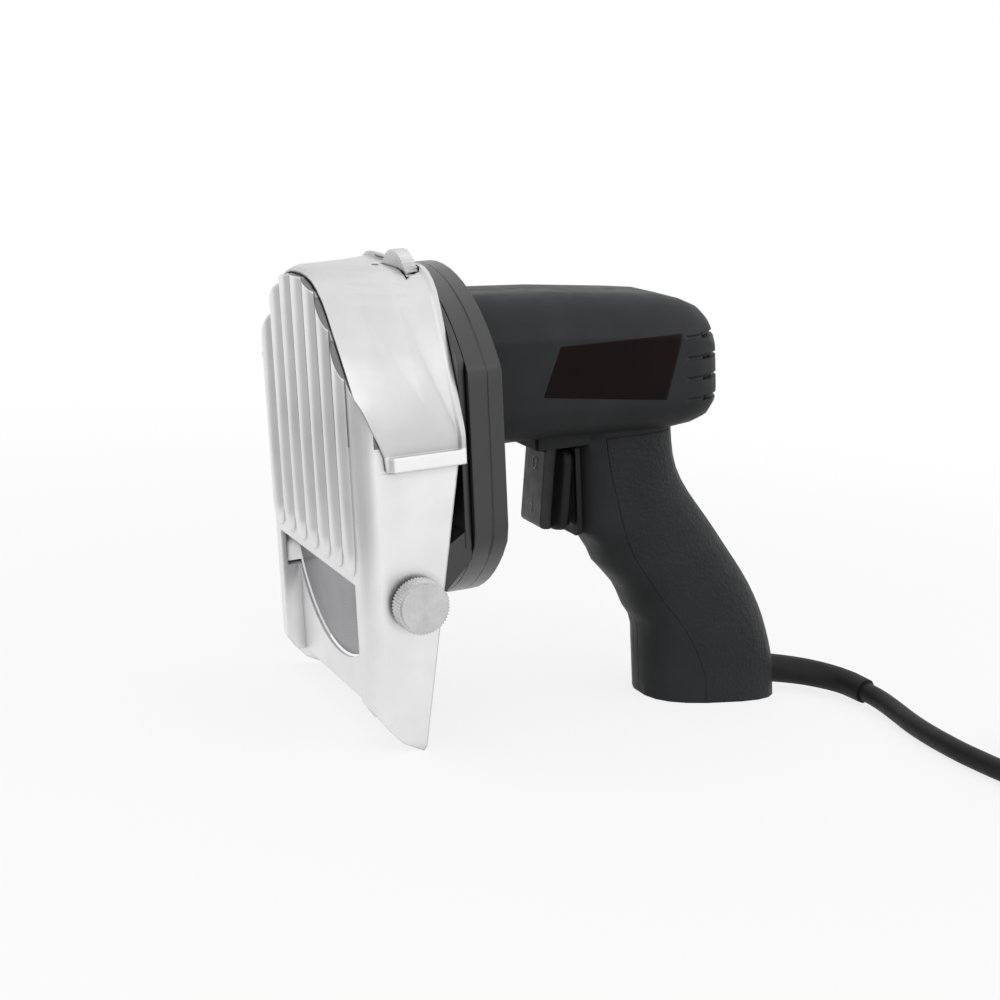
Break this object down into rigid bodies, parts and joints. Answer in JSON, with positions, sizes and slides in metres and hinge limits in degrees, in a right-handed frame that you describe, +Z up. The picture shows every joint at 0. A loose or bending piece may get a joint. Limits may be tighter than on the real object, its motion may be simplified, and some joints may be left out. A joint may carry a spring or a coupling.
{
  "type": "electric kebab slicer",
  "caption": "Pistol-grip electric kebab slicer: round blade behind a ribbed steel guard with thickness wheel and lock knob, geared motor in the barrel, rocker switch and mains cord.",
  "frame": {"origin": "middle of the flat foot of the grip, on the surface the slicer stands on", "axes": "+Z up, +X from the blade guard to the rear of the grip, +Y to the operator's right; the motor axis is tipped nose down by 8 degrees about Y"},
  "size_m": [0.342, 0.2513, 0.1667],
  "materials": {
    "polished_steel": "pressed stainless steel, polished",
    "bright_steel": "turned steel",
    "blade_steel": "ground satin blade steel",
    "gear_steel": "hardened gear and bearing steel",
    "black_case": "smooth black moulded plastic",
    "black_handle": "black moulded plastic with a leather grain",
    "black_gloss": "smooth black plastic",
    "black_rubber": "black rubber",
    "lamination": "stacked electrical steel",
    "copper": "copper, varnished windings",
    "brass": "drawn brass",
    "carbon": "pressed carbon"
  },
  "bodies": {
    "tool": {"blade_cover": "polished_steel", "brush_holder_1": "brass", "brush_holder_2": "brass", "carbon_brush_1": "carbon", "carbon_brush_2": "carbon", "case_screw_1": "bright_steel", "case_screw_2": "bright_steel", "case_screw_3": "bright_steel", "cord_clamp": "black_case", "cord_coil": "black_rubber", "cover_screw_1": "bright_steel", "cover_screw_2": "bright_steel", "field_coil_1": "copper", "field_coil_2": "copper", "gear_case": "black_case", "gear_case_plate": "black_case", "guide_pin": "bright_steel", "handle_left": "black_handle", "handle_right": "black_handle", "handle_screw_1": "bright_steel", "handle_screw_2": "bright_steel", "handle_screw_3": "bright_steel", "handle_screw_4": "bright_steel", "intermediate_bush": "brass", "mains_cord": "black_rubber", "mains_plug": "black_case", "motor_bearing_front": "gear_steel", "motor_bearing_rear": "gear_steel", "plug_pin_1": "brass", "plug_pin_2": "brass", "rocker_pin": "bright_steel", "spindle_bearing_front": "gear_steel", "spindle_bearing_rear": "gear_steel", "spindle_seal": "black_rubber", "stator_core": "lamination", "strain_relief": "black_rubber", "switch_body": "black_gloss", "switch_boot": "black_rubber"},
    "guard": {"ribbed_guard": "polished_steel", "guard_rod": "bright_steel"},
    "wheel": {"thickness_wheel": "bright_steel"},
    "lock_carrier": {"lock_washer": "bright_steel"},
    "lock": {"lock_knob": "polished_steel"},
    "spindle": {"blade": "blade_steel", "blade_hub": "bright_steel", "blade_clamp_washer": "bright_steel", "blade_bolt": "bright_steel", "spindle_shaft": "bright_steel", "spindle_gear": "gear_steel"},
    "layshaft": {"intermediate_gear": "gear_steel", "intermediate_pinion": "gear_steel", "intermediate_shaft": "gear_steel"},
    "armature": {"armature_shaft": "gear_steel", "armature_core": "lamination", "winding_front": "copper", "winding_rear": "copper", "commutator": "copper", "cooling_fan": "black_case", "motor_pinion": "gear_steel"},
    "rocker": {"switch_rocker": "black_gloss"}
  },
  "joints": [
    {"name": "wheel_turn", "type": "hinge", "parent": "tool", "child": "wheel", "pos_m": [-0.12272, -0.0145, 0.15465], "axis": [0.9903, 0, 0.1392], "range_deg": [0, 725]},
    {"name": "guard_slide", "type": "slide", "parent": "tool", "child": "guard", "axis": [0.9903, 0, 0.1392], "range_m": [0, 0.004]},
    {"name": "lock_lift", "type": "slide", "parent": "tool", "child": "lock_carrier", "axis": [0, -1, 0], "range_m": [0, 0.002]},
    {"name": "lock_turn", "type": "hinge", "parent": "lock_carrier", "child": "lock", "pos_m": [-0.14218, -0.058, 0.05244], "axis": [0, -1, 0], "range_deg": [0, 725]},
    {"name": "spindle_spin", "type": "hinge", "parent": "tool", "child": "spindle", "pos_m": [-0.13153, 0, 0.07363], "axis": [0.9903, 0, 0.1392], "continuous": true},
    {"name": "layshaft_spin", "type": "hinge", "parent": "tool", "child": "layshaft", "pos_m": [-0.12145, 0.01685, 0.10252], "axis": [0.9903, 0, 0.1392], "continuous": true},
    {"name": "armature_spin", "type": "hinge", "parent": "tool", "child": "armature", "pos_m": [-0.08855, 0, 0.12713], "axis": [0.9903, 0, 0.1392], "continuous": true},
    {"name": "rocker_tilt", "type": "hinge", "parent": "tool", "child": "rocker", "pos_m": [-0.06945, 0, 0.08175], "axis": [0, -1, 0], "range_deg": [0, 14]}
  ],
  "couplings": [
    {"joint": "wheel_turn", "follows": "guard_slide", "rad_per_m": 3141.6},
    {"joint": "lock_turn", "follows": "lock_lift", "rad_per_m": 6283.2},
    {"joint": "layshaft_spin", "follows": "spindle_spin", "ratio": -4.3333},
    {"joint": "armature_spin", "follows": "spindle_spin", "ratio": 23.833}
  ]
}
